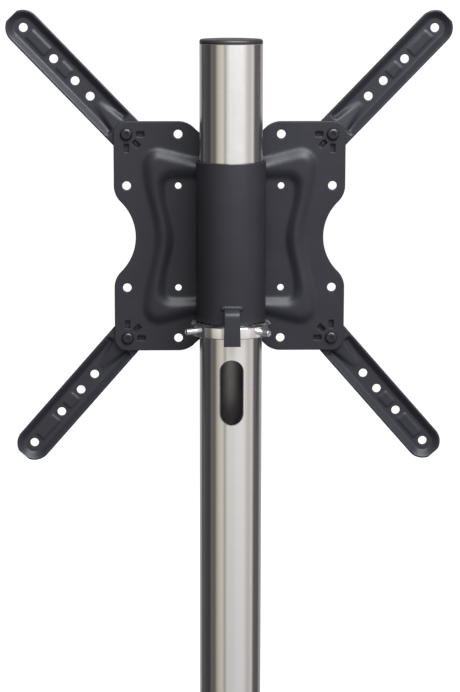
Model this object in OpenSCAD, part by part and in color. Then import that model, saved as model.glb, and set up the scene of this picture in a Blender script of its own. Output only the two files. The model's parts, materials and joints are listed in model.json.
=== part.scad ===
// Floor stand for a television: a weighted round base, a steel pole and a swivelling
// mount whose four arms fold. Millimetres, +Z up. The origin is on the floor, on the
// axis of the pole. The screen hangs on the +Y side; the rear of the mount faces -Y.

/* [Base] */
// Diameter of the floor plate
base_d = 500; // [400:10:640]
// Thickness of the floor plate
base_t = 10; // [9:1:20]
// Radius rounded on the upper rim of the floor plate
base_edge_r = 3; // [1:0.5:5]
// Height of the rubber feet below the floor plate
foot_h = 5; // [3:0.5:10]
// Diameter of a rubber foot
foot_d = 30; // [20:1:40]
// Number of rubber feet
foot_count = 6; // [3:1:10]
// Distance from the rim of the floor plate to the middle of a foot
foot_inset = 30; // [24:1:60]
// Diameter of the plug that holds a foot in its hole
foot_plug_d = 8; // [5:0.5:12]
// Length of the plug that holds a foot in its hole
foot_plug_l = 5; // [3:0.5:7]
// Width of the cover ring round the bottom of the pole
cover_w = 24; // [14:1:40]
// Height of the cover ring round the bottom of the pole
cover_h = 12; // [7:1:20]
// Thickness of the cover ring's outer lip
cover_lip = 2; // [1:0.5:4]

/* [Pole] */
// Outer diameter of the pole
pole_d = 60; // [56:1:66]
// Wall thickness of the pole
pole_wall = 2; // [1.5:0.25:3]
// Length of the pole
pole_l = 1479; // [1100:1:1800]
// Width of a cable slot in the pole
slot_w = 22.5; // [12:0.5:28]
// Height of a cable slot in the pole
slot_h = 63; // [40:1:90]
// Height of the middle of the lower cable slot above the floor
slot_low_z = 130; // [100:5:250]
// Height of the steel plug in the bottom of the pole
plug_h = 30; // [20:1:45]
// Diameter of the screws that hold the pole on the floor plate
base_screw_d = 8; // [6:1:10]
// Diameter of the heads of those screws
base_screw_head_d = 15; // [13:0.5:16]
// Radius of the circle that those screws stand on
base_screw_pcr = 17; // [14:0.5:18]
// Number of those screws
base_screw_count = 3; // [2:1:5]
// How deep those screws reach into the plug
base_screw_grip = 16; // [10:1:18]

/* [Pole cap] */
// Height of the cap's rim above the pole
cap_rim_h = 4; // [2:0.5:8]
// Rise of the cap's crown above its rim
cap_crown = 2; // [1:0.25:4]
// Radius of the cap's rounded rim
cap_edge_r = 2; // [1:0.25:2]
// Depth of the cap's skirt inside the pole
cap_skirt_h = 18; // [8:1:30]
// Wall thickness of the cap's skirt
cap_skirt_t = 2; // [1.5:0.25:3]

/* [Sleeve] */
// Outer diameter of the sleeve
sleeve_d = 67; // [67:1:74]
// Wall thickness of the sleeve
sleeve_wall = 2; // [1.5:0.25:2.25]
// Height of the sleeve
sleeve_h = 152; // [130:1:200]
// How far the sleeve reaches below the middle of the mount plate
sleeve_below = 74; // [60:1:90]
// Height of a plastic liner inside the sleeve
liner_h = 26; // [15:1:50]
// How far a liner sits inside the end of the sleeve
liner_inset = 1; // [0.5:0.5:5]
// Thickness of the plastic washer under the sleeve
washer_t = 1; // [0.5:0.25:2]

/* [Collar] */
// Outer diameter of the collar
collar_d = 78.5; // [76:0.5:82]
// Height of the collar
collar_h = 12.7; // [11:0.1:20]
// Chamfer on the collar's upper edge
collar_chamfer = 2.3; // [1:0.1:3]
// Chamfer on the collar's lower edge
collar_low_chamfer = 0.6; // [0.2:0.1:1]
// Diameter of the two clamp screws
clamp_d = 6; // [5:1:7]
// Length of the two clamp screws
clamp_l = 20; // [18:1:25]
// Angle from the middle of the rear to the left clamp screw
clamp_left_angle = 60; // [50:1:75]
// Angle from the middle of the rear to the right clamp screw
clamp_right_angle = 45; // [40:1:75]
// Width across the flats of the socket in a clamp screw
clamp_socket = 3; // [2.5:0.5:3]

/* [Stop tab] */
// Width of the tab where it leaves the sleeve
tab_top_w = 14.5; // [10:0.5:18]
// Width of the tab at its lower end
tab_low_w = 16; // [10:0.5:18]
// Thickness of the tab
tab_t = 3; // [2:0.5:4]
// How far the tab stands out from the sleeve
tab_out = 14; // [12:0.5:18]
// Outer radius of the tab's bend
tab_bend_r = 5; // [4.5:0.5:8]
// How far the tab's shelf lies above the lower end of the sleeve
tab_shelf_up = 15; // [8:0.5:30]
// How far the tab hangs below the collar
tab_hang = 5.3; // [2:0.1:15]
// Radius of the weld bead above the tab
bead_r = 2; // [1:0.25:3]
// How far the bead runs past each side of the tab
bead_over = 4; // [1:0.5:8]

/* [Mount plate] */
// Distance from the outer holes' centres to the edge of the plate
plate_margin = 12.5; // [11:0.5:20]
// Thickness of the mount plate
plate_t = 3; // [2:0.25:4]
// Radius of the plate's corners
plate_corner_r = 12; // [8:1:12]
// Depth of the hollow in each side of the plate
scallop_depth = 21; // [12:1:24]
// Half the length of the hollow in each side
scallop_half = 50; // [40:1:52]
// Radius at the bottom of the hollow
scallop_r = 48; // [36:1:50]
// How far the pressed form stands out to the rear
form_h = 8; // [6:0.5:10]
// Half the width of the pressed form
form_half_w = 85; // [84.5:0.5:86]
// Half the height of the pressed form
form_half_h = 88; // [87.5:0.5:90]
// Radius of the pressed form's corners
form_corner_r = 19; // [12:1:24]
// How far the pressed form draws in at the middle of its sides
form_waist = 12; // [8:0.5:12.5]
// How far the pressed form draws in at the middle of its top and bottom
form_dip = 11.5; // [6:0.5:12]
// Width of the slope round the pressed form
form_slope = 8; // [6:0.5:8.5]
// Distance from the plate's middle to the near side of a pressed window
window_near = 18; // [16:0.5:22]
// Distance from the plate's middle to the far side of a pressed window
window_far = 63; // [61:0.5:63.5]
// Half the height of a pressed window
window_half_h = 60; // [58:0.5:60.5]
// Radius of a pressed window's corners
window_corner_r = 9; // [6:0.5:10]
// How far a pressed window draws in at the middle of its far side
window_waist = 8; // [7.5:0.5:10]

/* [Screen holes] */
// Spacing of the smallest screen pattern
pattern_small = 100; // [100:1:100]
// Spacing of the middle screen pattern, which is also the spacing of the arm pivots
pattern_pivot = 200; // [200:1:200]
// Spacing of the screen pattern that the arms reach halfway
pattern_mid = 300; // [296:1:304]
// Spacing of the screen pattern that the arms reach at full length
pattern_large = 400; // [396:1:410]
// Diameter of the outer holes of the plate and of the holes in the arms
hole_d = 8.5; // [6:0.1:9]
// Diameter of the four inner holes of the plate
inner_hole_d = 6.4; // [5:0.1:7]

/* [Arms] */
// Width of an arm
arm_w = 34; // [33:0.5:36]
// Thickness of the sheet that an arm is pressed from
arm_t = 2.5; // [2:0.1:2.5]
// Height of an arm's channel
arm_h = 7.5; // [7.5:0.25:9]
// Inner radius of the bend between an arm's floor and its sides
arm_bend_r = 2; // [1:0.25:2.5]
// Slope of an arm's sides against its floor
arm_side_angle = 40; // [38:1:50]
// Angle of the upper arms above the horizontal
upper_arm_angle = 46; // [42:0.5:49]
// Angle of the lower arms below the horizontal
lower_arm_angle = 48.8; // [42:0.1:49]
// Distance from the pivot to the step of an arm's ramp
ramp_near = 12; // [11:0.5:14]
// Distance from the pivot to the low end of an arm's ramp
ramp_far = 41; // [38:0.5:42]
// Half the width of the ramp at its low end
ramp_far_half = 4; // [3.5:0.5:5]
// Half the width of the ramp at the step
ramp_near_half = 10; // [8:0.5:10]
// Width of the slope along the sides of the ramp
ramp_slope = 2; // [1.5:0.25:2.5]
// Height of the raised panels in an arm's floor
panel_h = 1; // [0.5:0.25:1.5]
// Width of the raised panels
panel_w = 12; // [8:0.5:14]
// Slope round the raised panels
panel_slope = 1.5; // [1:0.25:2]
// Flat floor left between a raised panel and the nearest hole
panel_gap = 3; // [2:0.25:4]

// How far the pad's round end is set back behind the pivot
pad_back = 2.5; // [0:0.5:3]
// Distance from the outer hole's centre to the flat that ends an arm
tip_flat = 15.5; // [14.75:0.25:16.5]

/* [Arm pivots] */
// Diameter of the pivot screws
pivot_d = 6; // [5:0.5:6]
// Diameter of a pivot screw's head
pivot_head_d = 12; // [11:0.5:13]
// Height of a pivot screw's head
pivot_head_h = 3.4; // [2.5:0.1:4]
// Width across the flats of the socket in a pivot screw
pivot_socket = 4; // [3:0.5:4]
// Depth of the socket in a pivot screw
pivot_socket_depth = 2; // [1.5:0.1:2]
// Thickness of the plastic shim between the plate and an arm
shim_t = 1; // [1:0.1:1.5]
// Outer diameter of the plastic shim
shim_d = 16; // [14:0.5:17]
// Thickness of the steel washer under a pivot nut
nut_washer_t = 1.2; // [0.8:0.1:1.2]
// Outer diameter of the steel washer under a pivot nut
nut_washer_d = 12; // [11:0.5:13]
// Height of a pivot nut
nut_h = 3.2; // [2.5:0.1:3.2]
// Width across the flats of a pivot nut
nut_flats = 10; // [9:0.5:11]
// Distance from a pivot to the middle of an index slot
index_reach = 13.5; // [13.25:0.25:14.5]
// Length of an index slot
index_slot_l = 7.8; // [7:0.1:9]
// Width of an index slot
index_slot_w = 4.9; // [4:0.1:5]
// Radius of an index slot's corners
index_slot_r = 1; // [0.5:0.25:1.5]
// Radius of the bump on an arm that shows through an index slot
index_bump_r = 1.6; // [1:0.1:1.8]
// Height of the bump
index_bump_h = 0.7; // [0.4:0.1:0.7]

/* [Fits] */
// Radial clearance between the liners and the pole
liner_fit = 0.1; // [0.06:0.02:0.2]
// Radial clearance between the collar and the pole
collar_fit = 0.3; // [0.3:0.05:0.4]
// Radial clearance of a pin or screw in the hole that it turns or slides in
pin_fit = 0.05; // [0.03:0.01:0.08]
// Radial clearance of a piece that is pushed into its seat and stays there
push_fit = 0.05; // [0.03:0.01:0.1]
// Radial clearance of a screw in a drilled hole
drill_fit = 0.25; // [0.15:0.05:0.4]
// Gap between the sleeve and the pressed form that it is welded to
weld_gap = 0.3; // [0.2:0.05:0.5]
// Gap between a clamp screw's tip and the pole
tip_gap = 0.1; // [0.1:0.05:0.2]

/* [Hidden] */

// Sides of a full circle
$fn = 96;
// How far a cut runs past the face that it opens
over = 1;
// Sides of a hexagon
hex = 6;
// Root of two, which sets a diagonal reach
diagonal = sqrt(2);

base_top = foot_h + base_t;
pole_r = pole_d / 2;
pole_bore_r = pole_r - pole_wall;
pole_top = base_top + pole_l;
foot_pcr = base_d / 2 - foot_inset;

// Depth of the middle of the mount plate below the top of the pole
mount_drop = 189;
mount_z = pole_top - mount_drop;
// Depth of the middle of the upper cable slot below the middle of the mount plate
slot_drop = 141;
slot_high_z = mount_z - slot_drop;

sleeve_r = sleeve_d / 2;
sleeve_bore_r = sleeve_r - sleeve_wall;
sleeve_z = mount_z - sleeve_below;
collar_r = collar_d / 2;
collar_top = sleeve_z - washer_t;
collar_z = collar_top - collar_h;
clamp_z = collar_z + (collar_h - collar_chamfer) / 2;
clamp_r = clamp_d / 2;
clamp_tip_r = pole_r + tip_gap;

shelf_z = sleeve_z + tab_shelf_up;
tab_foot_z = collar_z - tab_hang;
tab_face_r = sleeve_r + tab_out;

// Width and height of the mount plate
plate_w = pattern_pivot + 2 * plate_margin;
crest_y = sleeve_r + weld_gap;
plate_y = crest_y + form_h;
plate_back_y = plate_y + plate_t;
arm_y = plate_back_y + shim_t;

pivot_r = pivot_d / 2;
reach_mid = (pattern_mid - pattern_pivot) / 2;
reach_large = (pattern_large - pattern_pivot) / 2;
tip_reach = reach_large * diagonal;
arm_holes = [reach_mid, reach_mid * diagonal, reach_large, tip_reach];
pivot_stack = plate_t + shim_t + arm_t + nut_washer_t + nut_h;

// A solid between rings of equally many points, with flat ends. Seen from the first
// ring's side, the points of each ring run clockwise.
module loft(rings) {
    n = len(rings[0]);
    last = len(rings) - 1;
    side = [for (k = [0:last - 1], i = [0:n - 1])
        let (j = (i + 1) % n, a = k * n + i, b = k * n + j)
            each [[a, a + n, b], [b, a + n, b + n]]];
    near_end = [[for (i = [0:n - 1]) i]];
    far_end = [[for (i = [n - 1:-1:0]) last * n + i]];
    polyhedron(points = [for (r = rings, p = r) p], faces = concat(near_end, side, far_end));
}

// A box with rounded corners in plan, from z = 0 up
module rounded_plate(w, h, r, t) {
    linear_extrude(t) {
        square([w - 2 * r, h], center = true);
        square([w, h - 2 * r], center = true);
        for (x = [-1, 1], y = [-1, 1])
            translate([x * (w / 2 - r), y * (h / 2 - r)]) circle(r);
    }
}

// A ring standing on z = 0
module ring(outer_r, inner_r, h) {
    difference() {
        cylinder(r = outer_r, h = h);
        translate([0, 0, -over]) cylinder(r = inner_r, h = h + 2 * over);
    }
}

// A hexagonal prism standing on z = 0, measured across its flats
module hex_prism(flats, h) {
    cylinder(d = flats / cos(180 / hex), h = h, $fn = hex);
}

// Children turned so that their z axis points to +Y
module face_screen() {
    rotate([-90, 0, 0]) children();
}

// Children set at each of the four arm pivots, z axis to +Y, from the depth y on
module at_pivots(y) {
    for (x = [-1, 1], z = [-1, 1])
        translate([x * pattern_pivot / 2, y, mount_z + z * pattern_pivot / 2])
            face_screen() children();
}

// Children set out on a circle round the pole's axis
module round_pole(radius, count) {
    for (i = [0:count - 1])
        rotate([0, 0, 360 * i / count]) translate([radius, 0, 0]) children();
}

module base_plate() {
    head_r = base_screw_head_d / 2;
    shank_r = base_screw_d / 2 + drill_fit;
    sink = head_r - base_screw_d / 2;
    color("#26272b")
    translate([0, 0, foot_h])
    difference() {
        union() {
            cylinder(d = base_d, h = base_t - base_edge_r);
            rotate_extrude() {
                square([base_d / 2 - base_edge_r, base_t]);
                translate([base_d / 2 - base_edge_r, base_t - base_edge_r])
                    intersection() {
                        circle(base_edge_r);
                        square(base_edge_r);
                    }
            }
        }
        round_pole(base_screw_pcr, base_screw_count) {
            translate([0, 0, -over]) cylinder(r = shank_r, h = base_t + 2 * over);
            translate([0, 0, -over]) cylinder(r = head_r + drill_fit, h = over);
            cylinder(r1 = head_r + drill_fit, r2 = shank_r, h = sink);
        }
        round_pole(foot_pcr, foot_count)
            translate([0, 0, -over]) cylinder(d = foot_plug_d + 2 * push_fit, h = foot_plug_l + over);
    }
}

module base_feet() {
    // Taper of a foot towards the floor
    taper = foot_h / 4;
    color("#141416")
    round_pole(foot_pcr, foot_count) {
        cylinder(r1 = foot_d / 2 - taper, r2 = foot_d / 2, h = taper);
        translate([0, 0, taper]) cylinder(d = foot_d, h = foot_h - taper);
        translate([0, 0, foot_h]) cylinder(d = foot_plug_d, h = foot_plug_l - push_fit);
    }
}

module base_screws() {
    sink = (base_screw_head_d - base_screw_d) / 2;
    shank = base_t + base_screw_grip;
    // Width across the flats of the sockets and their depth, as shares of the shank
    flats_share = 0.6;
    depth_share = 0.4;
    color("#8f9196")
    translate([0, 0, foot_h])
    round_pole(base_screw_pcr, base_screw_count)
    difference() {
        union() {
            cylinder(d1 = base_screw_head_d, d2 = base_screw_d, h = sink);
            cylinder(d = base_screw_d, h = shank);
        }
        translate([0, 0, -over]) hex_prism(base_screw_d * flats_share, base_screw_d * depth_share + over);
    }
}

module pole_plug() {
    color("#8a8c90")
    translate([0, 0, base_top])
    difference() {
        cylinder(r = pole_bore_r - push_fit, h = plug_h);
        round_pole(base_screw_pcr, base_screw_count)
            translate([0, 0, -over]) cylinder(d = base_screw_d + 2 * pin_fit, h = base_screw_grip + 2 * over);
    }
}

module base_cover() {
    inner_r = pole_r + collar_fit;
    outer_r = pole_r + cover_w;
    crown_r = cover_h - cover_lip;
    color("#d4d5d6")
    translate([0, 0, base_top])
    rotate_extrude()
    difference() {
        union() {
            translate([inner_r, 0]) square([outer_r - inner_r, cover_lip]);
            translate([inner_r, 0]) square([crown_r / 2, cover_h]);
            translate([inner_r + crown_r / 2, cover_lip])
                intersection() {
                    circle(crown_r);
                    square(crown_r);
                }
        }
        translate([0, -over]) square([inner_r, cover_h + 2 * over]);
    }
}

// A slot with round ends through the rear wall of the pole, centred on z = 0
module cable_slot() {
    reach = pole_r + over;
    rotate([90, 0, 0]) {
        for (z = [-1, 1])
            translate([0, z * (slot_h - slot_w) / 2, 0]) cylinder(d = slot_w, h = reach);
        translate([-slot_w / 2, -(slot_h - slot_w) / 2, 0]) cube([slot_w, slot_h - slot_w, reach]);
    }
}

module pole() {
    color("#c9c8c6")
    difference() {
        translate([0, 0, base_top]) ring(pole_r, pole_bore_r, pole_l);
        for (z = [slot_low_z, slot_high_z]) translate([0, 0, z]) cable_slot();
    }
}

module pole_cap() {
    skirt_r = pole_bore_r - push_fit;
    top_r = pole_r - cap_edge_r;
    // Radius of the sphere whose top makes the crown
    crown_r = (top_r * top_r + cap_crown * cap_crown) / (2 * cap_crown);
    color("#222327")
    translate([0, 0, pole_top]) {
        rotate_extrude() {
            square([top_r, cap_rim_h]);
            square([pole_r, cap_rim_h - cap_edge_r]);
            translate([top_r, cap_rim_h - cap_edge_r]) intersection() {
                circle(cap_edge_r);
                square(cap_edge_r);
            }
            intersection() {
                translate([0, cap_rim_h + cap_crown - crown_r]) circle(crown_r, $fn = 4 * $fn);
                translate([0, cap_rim_h / 2]) square([top_r, cap_rim_h / 2 + cap_crown]);
            }
        }
        translate([0, 0, -cap_skirt_h]) ring(skirt_r, skirt_r - cap_skirt_t, cap_skirt_h);
    }
}

module collar() {
    inner_r = pole_r + collar_fit;
    color("#d8d9da")
    difference() {
        translate([0, 0, collar_z])
        rotate_extrude()
        polygon([
            [inner_r, 0],
            [collar_r - collar_low_chamfer, 0],
            [collar_r, collar_low_chamfer],
            [collar_r, collar_h - collar_chamfer],
            [collar_r - collar_chamfer, collar_h],
            [inner_r, collar_h]
        ]);
        for (a = [-clamp_left_angle, clamp_right_angle])
            at_clamp(a) cylinder(r = clamp_r + pin_fit, h = clamp_l);
    }
}

// Children set at the pole's surface, z axis pointing out, at an angle from the rear
module at_clamp(angle) {
    translate([0, 0, clamp_z])
        rotate([90, 0, angle]) translate([0, 0, clamp_tip_r]) children();
}

module clamp_screw(angle) {
    // Length of the tapered point, as a share of the screw's radius
    point_share = 0.5;
    point = clamp_r * point_share;
    socket_depth = clamp_d / 2;
    color("#dcdcdd")
    at_clamp(angle)
    difference() {
        union() {
            cylinder(r1 = clamp_r - point, r2 = clamp_r, h = point);
            translate([0, 0, point]) cylinder(r = clamp_r, h = clamp_l - point);
        }
        translate([0, 0, clamp_l - socket_depth]) hex_prism(clamp_socket, socket_depth + over);
    }
}

module clamp_screw_left() {
    clamp_screw(-clamp_left_angle);
}

module clamp_screw_right() {
    clamp_screw(clamp_right_angle);
}

module sleeve() {
    color("#36373d")
    translate([0, 0, sleeve_z]) ring(sleeve_r, sleeve_bore_r, sleeve_h);
}

module liner(z) {
    color("#1b1b1d")
    translate([0, 0, z]) ring(sleeve_bore_r - push_fit, pole_r + liner_fit, liner_h);
}

module liner_upper() {
    liner(sleeve_z + sleeve_h - liner_inset - liner_h);
}

module liner_lower() {
    liner(sleeve_z + liner_inset);
}

module swivel_washer() {
    color("#1b1b1d")
    translate([0, 0, collar_top]) ring(sleeve_r - washer_t, pole_r + collar_fit, washer_t);
}

// The strap's outline seen from the side: a shelf, a bend and a hanging leg
module tab_profile() {
    bend_x = tab_face_r - tab_bend_r;
    bend_z = shelf_z - tab_bend_r;
    difference() {
        union() {
            translate([0, shelf_z - tab_t]) square([bend_x, tab_t]);
            translate([tab_face_r - tab_t, tab_foot_z]) square([tab_t, bend_z - tab_foot_z]);
            translate([bend_x, bend_z]) intersection() {
                circle(tab_bend_r);
                square(tab_bend_r);
            }
        }
        translate([bend_x, bend_z]) circle(tab_bend_r - tab_t);
    }
}

module stop_tab() {
    widest = max(tab_top_w, tab_low_w);
    bead_angle = asin((tab_top_w / 2 + bead_over) / sleeve_r);
    bead_z = shelf_z + bead_r / 2;
    color("#3a3b42")
    difference() {
        union() {
            intersection() {
                translate([widest / 2, 0, 0]) rotate([90, 0, -90])
                    linear_extrude(widest) tab_profile();
                rotate([90, 0, 0]) linear_extrude(tab_face_r + over)
                    polygon([
                        [-tab_low_w / 2, tab_foot_z], [tab_low_w / 2, tab_foot_z],
                        [tab_top_w / 2, shelf_z], [-tab_top_w / 2, shelf_z]
                    ]);
            }
            translate([0, 0, bead_z]) rotate([0, 0, -90 - bead_angle])
                rotate_extrude(angle = 2 * bead_angle)
                    translate([sleeve_r, 0]) circle(bead_r, $fn = 32);
        }
        translate([0, 0, tab_foot_z - over])
            cylinder(r = sleeve_r + push_fit, h = shelf_z - tab_foot_z + 2 * over + 2 * bead_r);
    }
}

// Two upright beads in the wedge between the sleeve and the pressed form
module sleeve_welds() {
    // Radius of a bead and how far it stands to the side of the seam
    weld_r = form_h / 4;
    weld_x = sleeve_r / 4;
    // Length of a bead, as a share of the sleeve
    length_share = 0.75;
    length = sleeve_h * length_share;
    color("#36373d")
    difference() {
        for (x = [-1, 1])
            translate([x * weld_x, crest_y - weld_r / 2, mount_z - length / 2])
                cylinder(r = weld_r, h = length, $fn = 32);
        translate([0, 0, sleeve_z]) cylinder(r = sleeve_r + push_fit, h = sleeve_h);
        translate([-sleeve_r, crest_y - push_fit, sleeve_z]) cube([sleeve_d, form_h, sleeve_h]);
    }
}

// Steps along a rounded corner and along a straight side of a pressed outline
corner_steps = 6;
side_steps = 8;
// How sharply a side and an end draw in towards their middle
side_draw = 4;
end_draw = 2;

function corner(x, z, r, start) =
    [for (i = [0:corner_steps]) let (a = start + 90 * i / corner_steps) [x + r * cos(a), z + r * sin(a)]];

function along(a, b) = [for (i = [1:side_steps - 1]) a + (b - a) * i / side_steps];

// A rectangle with round corners, as points, from x0 to x1 and half_h up and down
function rounded_loop(x0, x1, half_h, r) = concat(
    corner(x1 - r, half_h - r, r, 0),
    along([x1 - r, half_h], [x0 + r, half_h]),
    corner(x0 + r, half_h - r, r, 90),
    along([x0, half_h - r], [x0, r - half_h]),
    corner(x0 + r, r - half_h, r, 180),
    along([x0 + r, -half_h], [x1 - r, -half_h]),
    corner(x1 - r, r - half_h, r, 270),
    along([x1, r - half_h], [x1, half_h - r])
);

// The loop drawn in by waist at the middle of its sides and by dip at its ends
function drawn_in(loop, half_w, half_h, waist, dip) = [for (p = loop)
    let (u = min(1, abs(p[0]) / half_w), v = min(1, abs(p[1]) / half_h))
        [p[0] * (1 - waist / half_w * pow(1 - v * v, side_draw)),
         p[1] * (1 - dip / half_h * pow(1 - u * u, end_draw))]];

// Steps up a pressed slope: how far in and how far up, as shares of its width and height
slope_shares = [[-0.06, -0.15], [0.12, 0.07], [0.36, 0.36], [0.64, 0.72], [0.86, 0.95], [1.1, 1.05]];
// A deeper first step, so that a window's slope starts well inside the sheet
window_start_share = [-0.06, -0.5];

// Rings of the pressed form, rising to the rear from inside the sheet past its crest
function form_rings() = [for (s = slope_shares)
    let (e = s[0] * form_slope, w = form_half_w - e, h = form_half_h - e)
        [for (p = drawn_in(rounded_loop(-w, w, h, form_corner_r - e / 2), w, h, form_waist, form_dip))
            [p[0], -s[1] * form_h, p[1]]]];

// Rings of a window that opens through the form, wider at its crest
function window_rings() = [for (s = concat([window_start_share], slope_shares))
    let (e = s[0] * form_slope, x0 = window_near - e + form_slope, x1 = window_far + e, h = window_half_h + e)
        [for (p = drawn_in(rounded_loop(x0, x1, h, window_corner_r), x1, h, window_waist, 0))
            [p[0], -s[1] * form_h, p[1]]]];

// A slab as wide as the plate, between two depths
module slab(from, to) {
    translate([-plate_w / 2, from, -plate_w / 2]) cube([plate_w, to - from, plate_w]);
}

// The pressed form without its windows, from its crest to just inside the sheet
module form_block() {
    intersection() {
        loft(form_rings());
        slab(-form_h, form_h / 10);
    }
}

// Both windows through the form, from above its crest down to a depth
module window_blocks(depth) {
    for (x = [0, 1]) mirror([x, 0, 0]) intersection() {
        loft(window_rings());
        slab(-form_h - over, depth);
    }
}

// Steps along the arcs of the hollow in a side of the plate
scallop_steps = 20;
fillet_steps = 10;

function arc(centre, r, from, to, steps) =
    [for (i = [0:steps]) let (a = from + (to - from) * i / steps) centre + r * [cos(a), sin(a)]];

// The hollow in one side of the plate, seen flat, for a plate whose edge is at y = edge:
// an arc at the bottom that two rounded shoulders run into
module scallop(edge) {
    shoulder_r = (pow(scallop_half, 2) + pow(scallop_depth, 2)) / (2 * scallop_depth) - scallop_r;
    middle = [0, edge - scallop_depth + scallop_r];
    shoulder = [scallop_half, edge - shoulder_r];
    turn = atan2(middle[1] - shoulder[1], -scallop_half);
    polygon(concat(
        [[scallop_half, edge + over]],
        arc(shoulder, shoulder_r, 90, turn, fillet_steps),
        [for (i = [1:scallop_steps - 1])
            arc(middle, scallop_r, turn - 180, -turn, scallop_steps)[i]],
        arc([-shoulder[0], shoulder[1]], shoulder_r, 180 - turn, 90, fillet_steps),
        [[-scallop_half, edge + over]]
    ));
}

module mount_plate() {
    color("#333438")
    translate([0, plate_y, mount_z])
    difference() {
        union() {
            face_screen() difference() {
                rounded_plate(plate_w, plate_w, plate_corner_r, plate_t);
                for (a = [0:90:270]) rotate([0, 0, a])
                    translate([0, 0, -over]) linear_extrude(plate_t + 2 * over) scallop(plate_w / 2);
            }
            form_block();
        }
        window_blocks(0);
        translate([0, plate_t, 0]) difference() {
            form_block();
            window_blocks(plate_t);
        }
        translate([0, -over, 0]) face_screen() {
            deep = plate_t + 2 * over;
            for (x = [-1, 1], y = [-1, 1]) {
                translate([x * pattern_small, y * pattern_pivot] / 2) cylinder(d = hole_d, h = deep);
                translate([x * pattern_pivot, y * pattern_small] / 2) cylinder(d = hole_d, h = deep);
                translate([x * pattern_small, y * pattern_small] / 2) cylinder(d = inner_hole_d, h = deep);
                translate([x * pattern_pivot, y * pattern_pivot] / 2) {
                    cylinder(r = pivot_r + drill_fit, h = deep);
                    for (turn = [-45, 0, 45])
                        rotate([0, 0, atan2(-y, -x) + turn]) translate([index_reach, 0, 0])
                            rounded_plate(index_slot_l, index_slot_w, index_slot_r, deep);
                }
            }
        }
    }
}

module pivot_screws() {
    // Radius of the sphere whose top makes the head
    dome_r = (pow(pivot_head_d / 2, 2) + pow(pivot_head_h, 2)) / (2 * pivot_head_h);
    color("#1d1e21")
    at_pivots(plate_y)
    difference() {
        union() {
            cylinder(r = pivot_r, h = pivot_stack);
            translate([0, 0, -pivot_head_h]) intersection() {
                translate([0, 0, dome_r]) sphere(dome_r);
                cylinder(d = pivot_head_d, h = pivot_head_h);
            }
        }
        translate([0, 0, -pivot_head_h - over]) hex_prism(pivot_socket, pivot_socket_depth + over);
    }
}

module pivot_shims() {
    color("#c9c6bb")
    at_pivots(plate_back_y) ring(shim_d / 2, pivot_r + pin_fit, shim_t);
}

module pivot_washers() {
    color("#7c7e83")
    at_pivots(arm_y + arm_t) ring(nut_washer_d / 2, pivot_r + drill_fit, nut_washer_t);
}

module pivot_nuts() {
    color("#7c7e83")
    at_pivots(arm_y + arm_t + nut_washer_t) difference() {
        hex_prism(nut_flats, nut_h);
        translate([0, 0, -over]) cylinder(r = pivot_r + pin_fit, h = nut_h + 2 * over);
    }
}

// Steps round a bend of an arm's section
bend_steps = 6;
floor_z = arm_h - arm_t;
bend_z = floor_z - arm_bend_r;
mid_bend_r = arm_bend_r + arm_t / 2;
side_l = (bend_z + mid_bend_r * cos(arm_side_angle) - arm_t / 2) / sin(arm_side_angle);
rim_x = arm_w / 2 - arm_t / 2;
bend_x = rim_x - mid_bend_r * sin(arm_side_angle) - side_l * cos(arm_side_angle);

function bend(r, from, to) = [for (i = [0:bend_steps]) let (a = from + (to - from) * i / bend_steps)
    [bend_x + r * sin(a), bend_z + r * cos(a)]];

function rim() = [for (i = [0:2 * bend_steps]) let (a = arm_side_angle + 180 - 90 * i / bend_steps)
    [rim_x + arm_t / 2 * sin(a), arm_t / 2 + arm_t / 2 * cos(a)]];

// Half of an arm's section: x across the arm, y from the rim plane to the screen
function half_section() = concat(
    [[0, floor_z]], bend(arm_bend_r, 0, arm_side_angle), rim(),
    bend(arm_bend_r + arm_t, arm_side_angle, 0), [[0, arm_h]]
);

// The same half with the channel filled up to the rim plane
function filled_section() = concat(
    [[0, 0]], [for (p = rim()) if (p[0] >= rim_x) p],
    bend(arm_bend_r + arm_t, arm_side_angle, 0), [[0, arm_h]]
);

// A half section and its mirror image as one outline
function both_sides(half) = concat(half, [for (i = [len(half) - 2:-1:1]) [-half[i][0], half[i][1]]]);

// A section run along x from one place to another
module run_section(half, from, to) {
    translate([from, 0, 0]) rotate([90, 0, 90]) linear_extrude(to - from) polygon(both_sides(half));
}

// A raised panel of the floor between two holes, as a solid that starts inside the sheet
module floor_panel(from, to) {
    sink = arm_t / 2;
    w = panel_w / 2;
    s = panel_slope;
    rim_loop = [[from, w], [to, w], [to, -w], [from, -w]];
    top_loop = [[from + s, w - s], [to - s, w - s], [to - s, s - w], [from + s, s - w]];
    loft([
        [for (p = rim_loop) [p[0], p[1], floor_z + sink]],
        [for (p = rim_loop) [p[0], p[1], floor_z]],
        [for (p = top_loop) [p[0], p[1], floor_z - panel_h]]
    ]);
}

// The ramp from the floor up to the pivot pad, as a solid that starts inside the sheet
module ramp() {
    sink = arm_t / 2;
    s = ramp_slope;
    // Height of the ramp's low end, as a share of the channel's depth
    low_share = 0.9;
    foot_loop = [[ramp_near, ramp_near_half], [ramp_far, ramp_far_half],
        [ramp_far, -ramp_far_half], [ramp_near, -ramp_near_half]];
    loft([
        [for (p = foot_loop) [p[0], p[1], floor_z + sink]],
        [for (p = foot_loop) [p[0], p[1], floor_z]],
        [[ramp_near, ramp_near_half - s, 0], [ramp_far - s, ramp_far_half - s, floor_z * low_share],
            [ramp_far - s, s - ramp_far_half, floor_z * low_share], [ramp_near, s - ramp_near_half, 0]]
    ]);
}

// The round end of an arm's channel, with a flat across its tip
module arm_tip() {
    translate([tip_reach, 0, 0]) intersection() {
        rotate([0, 0, -90]) rotate_extrude(angle = 180) polygon(half_section());
        translate([-over, -arm_w / 2 - over, -over])
            cube([tip_flat + over, arm_w + 2 * over, arm_h + 2 * over]);
    }
}

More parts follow.
